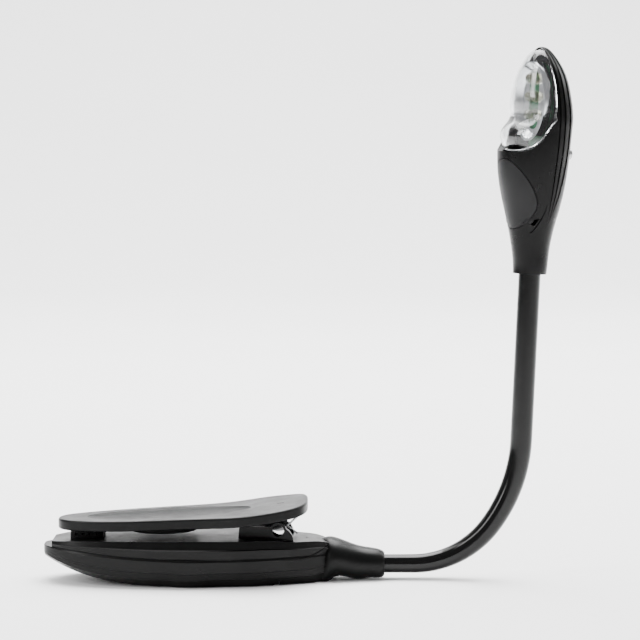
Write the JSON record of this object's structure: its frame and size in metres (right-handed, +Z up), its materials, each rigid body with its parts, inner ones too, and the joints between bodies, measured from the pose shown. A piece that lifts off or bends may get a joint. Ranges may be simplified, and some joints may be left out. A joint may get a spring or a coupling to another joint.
{
  "type": "clip-on reading lamp",
  "caption": "Battery reading lamp with a sprung clip on its base, a bendable gooseneck and an egg-shaped head with a clear lens over its LEDs.",
  "frame": {"origin": "on the flat underside of the base, on its centre line just behind the battery door", "axes": "+Z up from the resting face, +X along the base from the clip tip to the neck, +Y across the base"},
  "size_m": [0.1531, 0.0356, 0.1546],
  "materials": {
    "shell_black": "fine moulded texture",
    "head_black": "fine moulded texture",
    "button_black": "satin moulded",
    "lever_black": "fine moulded texture",
    "neck_black": "smooth glossy sleeve",
    "core_aluminium": "drawn wire",
    "pad_rubber": "ribbed",
    "pin_chrome": "polished",
    "spring_steel": "drawn wire",
    "screw_steel": "plated",
    "contact_plate": "nickel plated",
    "cell_jacket": "plain printed film, no text",
    "wire_red": "insulated",
    "wire_black": "insulated",
    "reflector_silver": "vacuum plated",
    "board_green": "circuit board",
    "led_body": "clear epoxy over phosphor",
    "resistor_body": "lacquered",
    "switch_plastic": "moulded",
    "lens_clear": "clear moulded"
  },
  "bodies": {
    "base": {"base_deck": "shell_black", "base_hull": "shell_black", "base_screws": "screw_steel", "battery_cell_front": "cell_jacket", "battery_cell_rear": "cell_jacket", "contact_bridge": "contact_plate", "contact_negative": "contact_plate", "contact_positive": "contact_plate", "contact_spring_bridge": "spring_steel", "contact_spring_negative": "spring_steel", "deck_pad": "pad_rubber", "hinge_pin": "pin_chrome", "lead_negative": "wire_black", "lead_positive": "wire_red", "neck_core_0": "core_aluminium", "neck_ferrule_base": "spring_steel", "neck_sleeve_0": "neck_black", "torsion_spring": "spring_steel"},
    "lever": {"lever": "lever_black", "jaw_pad": "pad_rubber", "grip_disc": "pad_rubber"},
    "door": {"battery_door": "shell_black"},
    "button": {"switch_button": "button_black", "switch_plunger": "switch_plastic"},
    "head": {"head_rear_shell": "head_black", "head_front_shell": "head_black", "lens_cover": "lens_clear", "reflector": "reflector_silver", "led_board": "board_green", "led_1": "led_body", "led_2": "led_body", "led_3": "led_body", "resistor": "resistor_body", "switch_body": "switch_plastic", "head_screws": "screw_steel", "head_leads": "wire_black"},
    "neck_1": {"neck_sleeve_1": "neck_black", "neck_core_1": "core_aluminium"},
    "neck_2": {"neck_sleeve_2": "neck_black", "neck_core_2": "core_aluminium"},
    "neck_3": {"neck_sleeve_3": "neck_black", "neck_core_3": "core_aluminium"},
    "neck_4": {"neck_sleeve_4": "neck_black", "neck_core_4": "core_aluminium"},
    "neck_5": {"neck_sleeve_5": "neck_black", "neck_core_5": "core_aluminium"},
    "neck_6": {"neck_sleeve_6": "neck_black", "neck_core_6": "core_aluminium"},
    "neck_7": {"neck_sleeve_7": "neck_black", "neck_core_7": "core_aluminium"},
    "neck_8": {"neck_sleeve_8": "neck_black", "neck_core_8": "core_aluminium"}
  },
  "joints": [
    {"name": "lever_hinge", "type": "hinge", "parent": "base", "child": "lever", "pos_m": [-0.0029, 0, 0.0154], "axis": [0, 1, 0], "range_deg": [0, 25], "stiffness_Nm_per_rad": 0.02, "springref_deg": -34.38, "deforming": ["torsion_spring"]},
    {"name": "battery_door_slide", "type": "slide", "parent": "base", "child": "door", "axis": [0, 0, -1], "range_m": [0, 0.015]},
    {"name": "neck_bend_0", "type": "hinge", "parent": "base", "child": "neck_1", "pos_m": [0.035, 0, 0.0044], "axis": [0, 1, 0], "range_deg": [-20, 20]},
    {"name": "neck_bend_1", "type": "hinge", "parent": "neck_1", "child": "neck_2", "pos_m": [0.04833, 0, 0.00707], "axis": [-0.4261, 0, 0.9047], "range_deg": [-20, 20]},
    {"name": "neck_bend_2", "type": "hinge", "parent": "neck_2", "child": "neck_3", "pos_m": [0.05885, 0, 0.01567], "axis": [0, 1, 0], "range_deg": [-20, 20]},
    {"name": "neck_bend_3", "type": "hinge", "parent": "neck_3", "child": "neck_4", "pos_m": [0.06525, 0, 0.02776], "axis": [-0.9437, 0, 0.3309], "range_deg": [-20, 20]},
    {"name": "neck_bend_4", "type": "hinge", "parent": "neck_4", "child": "neck_5", "pos_m": [0.0678, 0, 0.04119], "axis": [0, 1, 0], "range_deg": [-20, 20]},
    {"name": "neck_bend_5", "type": "hinge", "parent": "neck_5", "child": "neck_6", "pos_m": [0.0684, 0, 0.05491], "axis": [-0.999, 0, 0.0436], "range_deg": [-20, 20]},
    {"name": "neck_bend_6", "type": "hinge", "parent": "neck_6", "child": "neck_7", "pos_m": [0.069, 0, 0.06862], "axis": [0, 1, 0], "range_deg": [-20, 20]},
    {"name": "neck_bend_7", "type": "hinge", "parent": "neck_7", "child": "neck_8", "pos_m": [0.0696, 0, 0.08233], "axis": [-0.999, 0, 0.0436], "range_deg": [-20, 20]},
    {"name": "head_twist", "type": "hinge", "parent": "neck_8", "child": "head", "pos_m": [0.0699, 0, 0.08933], "axis": [0.0436, 0, 0.999], "range_deg": [-60, 60]},
    {"name": "button_press", "type": "slide", "parent": "head", "child": "button", "axis": [0.8472, 0.5299, -0.037], "range_m": [0, 0.0006], "stiffness_N_per_m": 1500, "springref_m": -0.0005}
  ]
}
